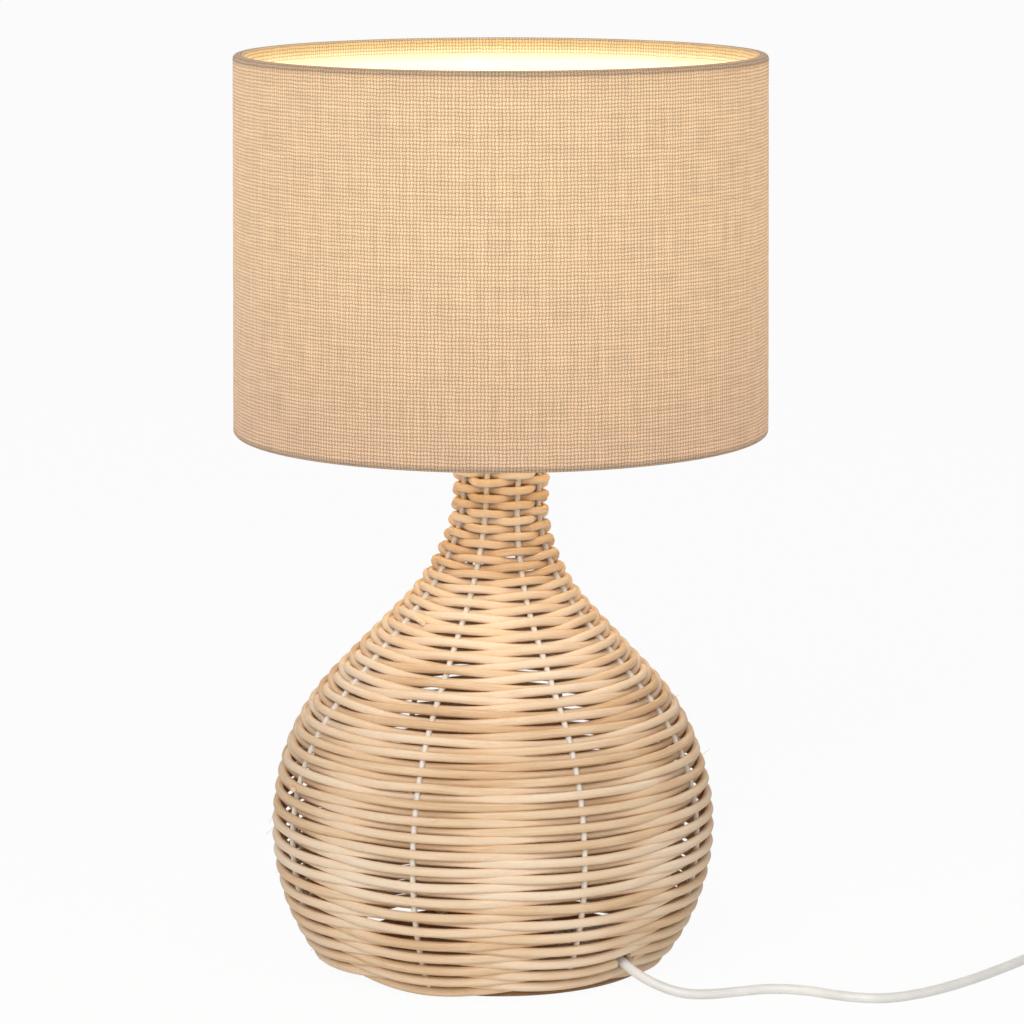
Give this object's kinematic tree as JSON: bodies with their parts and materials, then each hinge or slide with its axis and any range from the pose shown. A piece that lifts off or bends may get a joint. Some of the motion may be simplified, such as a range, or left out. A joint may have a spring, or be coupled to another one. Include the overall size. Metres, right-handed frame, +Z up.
{
  "type": "table lamp",
  "caption": "Table lamp with a bulb-shaped wicker body woven on steel rods, a linen drum shade over a screw-in bulb, and a white cord with a rocker switch and plug.",
  "frame": {"origin": "on the table under the axis of the lamp", "axes": "+Z up along the axis, front of the lamp towards -Y, cord leaves towards +X"},
  "size_m": [0.578, 0.358, 0.5144],
  "materials": {
    "felt": "matt felt",
    "plate_paint": "satin",
    "rod_paint": "satin",
    "rattan": "bare, dry fibre",
    "grip_plastic": "satin",
    "zinc_steel": "zinc plated",
    "holder_plastic": "smooth",
    "insert_ceramic": "glazed",
    "contact_brass": "bright",
    "core_copper": "bright",
    "cord_pvc": "satin",
    "bulb_cap_metal": "satin",
    "bulb_contact_metal": "dull",
    "bulb_body": "satin",
    "bulb_diffuser": "opal",
    "shade_linen": "coarse linen",
    "shade_lining": "matt film",
    "shade_wire": "powder coat",
    "switch_plastic": "satin",
    "rocker_plastic": "smooth",
    "tie_plastic": "satin",
    "plug_plastic": "satin",
    "pin_metal": "nickel plated"
  },
  "bodies": {
    "lamp_base": {"felt_pad": "felt", "base_plate": "plate_paint", "neck_plate": "plate_paint", "frame_rod_1": "rod_paint", "frame_rod_2": "rod_paint", "frame_rod_3": "rod_paint", "frame_rod_4": "rod_paint", "frame_rod_5": "rod_paint", "frame_rod_6": "rod_paint", "frame_rod_7": "rod_paint", "frame_rod_8": "rod_paint", "foot_weave": "rattan", "belly_weave": "rattan", "shoulder_weave": "rattan", "neck_weave": "rattan", "cord_grip_base": "grip_plastic", "cord_grip_bridge": "grip_plastic", "cord_grip_screws": "zinc_steel", "threaded_nipple": "zinc_steel", "nipple_washer": "zinc_steel", "nipple_nut": "zinc_steel", "switch_screws": "zinc_steel", "holder_cap": "holder_plastic", "holder_body": "holder_plastic", "holder_insert": "insert_ceramic", "thread_sleeve": "contact_brass", "centre_contact": "contact_brass", "terminal_screws": "contact_brass", "switch_contacts": "contact_brass", "core_wires": "core_copper", "inner_cord": "cord_pvc", "cord_lead": "cord_pvc", "cord_bridge": "cord_pvc", "cord_coil": "cord_pvc", "cord_tail": "cord_pvc", "switch_base": "switch_plastic", "switch_cover": "switch_plastic", "coil_tie": "tie_plastic", "plug_body": "plug_plastic", "plug_pins": "pin_metal"},
    "shade": {"shade_fabric": "shade_linen", "shade_liner": "shade_lining", "shade_top_ring": "shade_wire", "shade_bottom_ring": "shade_wire", "shade_arms": "shade_wire", "fitter_ring": "shade_wire"},
    "shade_ring": {"shade_ring_nut": "holder_plastic"},
    "bulb": {"bulb_globe": "bulb_diffuser", "bulb_collar": "bulb_body", "bulb_cap": "bulb_cap_metal", "bulb_contact": "bulb_contact_metal"},
    "rocker": {"switch_rocker": "rocker_plastic"}
  },
  "joints": [
    {"name": "shade_turn", "type": "hinge", "parent": "lamp_base", "child": "shade", "pos_m": [0, 0, 0.3245], "axis": [0, 0, 1], "continuous": true},
    {"name": "shade_ring_turn", "type": "hinge", "parent": "lamp_base", "child": "shade_ring", "pos_m": [0, 0, 0.33], "axis": [0, 0, 1], "range_deg": [0, 1080]},
    {"name": "bulb_turn", "type": "hinge", "parent": "lamp_base", "child": "bulb", "pos_m": [0, 0, 0.34], "axis": [0, 0, 1], "range_deg": [0, 1440]},
    {"name": "rocker_tilt", "type": "hinge", "parent": "lamp_base", "child": "rocker", "pos_m": [0.333, 0.082, 0.0122], "axis": [1, 0, 0], "range_deg": [0, 16]}
  ]
}
